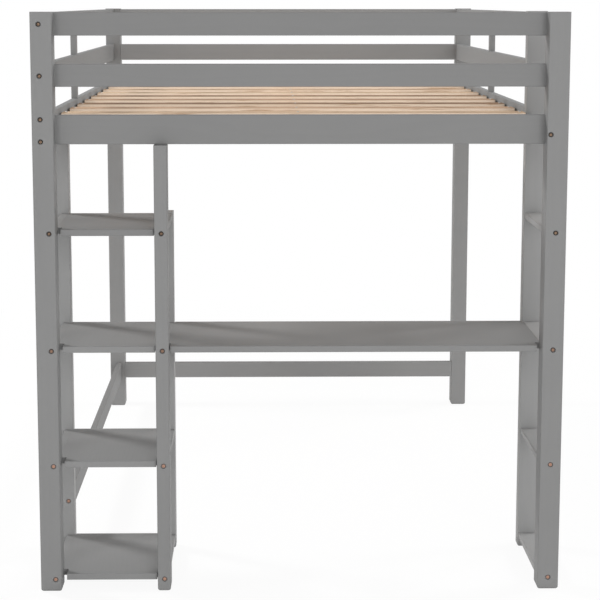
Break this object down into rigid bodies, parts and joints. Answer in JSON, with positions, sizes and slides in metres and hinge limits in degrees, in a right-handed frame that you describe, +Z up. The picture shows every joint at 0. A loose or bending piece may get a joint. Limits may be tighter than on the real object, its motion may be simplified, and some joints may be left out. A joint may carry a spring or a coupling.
{
  "type": "loft bed with desk",
  "caption": "Loft bed frame on square posts with slatted deck, guard boards, a fixed desk and a shelf tower under the foot end, and a ladder built into one corner.",
  "frame": {"origin": "on the floor, under the middle of the bed's outline", "axes": "+X across the bed towards the ladder, +Y along the bed from the desk end to the head end, +Z up"},
  "size_m": [1.448, 2.02, 1.61],
  "materials": {
    "grey_paint": "satin grey paint",
    "bare_pine": "bare planed pine",
    "bronzed_steel": "bronze coated",
    "zinc_steel": "zinc plated",
    "beech": "bare turned beech"
  },
  "bodies": {
    "root": {"front_left_post": "grey_paint", "ladder_front_post": "grey_paint", "ladder_rear_post": "grey_paint", "back_left_post": "grey_paint", "back_right_post": "grey_paint", "shelf_front_right_post": "grey_paint", "shelf_back_left_post": "grey_paint", "shelf_back_right_post": "grey_paint", "front_end_rail": "grey_paint", "front_lower_guard": "grey_paint", "front_upper_guard": "grey_paint", "back_end_rail": "grey_paint", "back_lower_guard": "grey_paint", "back_upper_guard": "grey_paint", "back_stretcher": "grey_paint", "left_side_rail": "grey_paint", "left_lower_guard": "grey_paint", "left_upper_guard": "grey_paint", "left_stretcher": "grey_paint", "right_side_rail": "grey_paint", "right_lower_guard": "grey_paint", "right_upper_guard": "grey_paint", "ladder_side_rail": "grey_paint", "left_lower_baluster": "grey_paint", "left_upper_baluster": "grey_paint", "right_lower_baluster": "grey_paint", "right_upper_baluster": "grey_paint", "left_slat_cleat": "grey_paint", "right_slat_cleat": "grey_paint", "desk_top": "grey_paint", "shelf_bar_left_1": "grey_paint", "shelf_bar_right_1": "grey_paint", "ladder_rung_1": "grey_paint", "shelf_1": "grey_paint", "shelf_bar_left_2": "grey_paint", "shelf_bar_right_2": "grey_paint", "ladder_rung_2": "grey_paint", "shelf_2": "grey_paint", "shelf_bar_left_3": "grey_paint", "shelf_bar_right_3": "grey_paint", "ladder_rung_3": "grey_paint", "shelf_3": "grey_paint", "shelf_bar_left_4": "grey_paint", "shelf_bar_right_4": "grey_paint", "ladder_rung_4": "grey_paint", "shelf_4": "grey_paint", "centre_beam": "bare_pine", "slat_01": "bare_pine", "slat_02": "bare_pine", "slat_03": "bare_pine", "slat_04": "bare_pine", "slat_05": "bare_pine", "slat_06": "bare_pine", "slat_07": "bare_pine", "slat_08": "bare_pine", "slat_09": "bare_pine", "slat_10": "bare_pine", "frame_bolts": "bronzed_steel", "barrel_nuts": "zinc_steel", "dowels": "beech"}
  },
  "joints": []
}
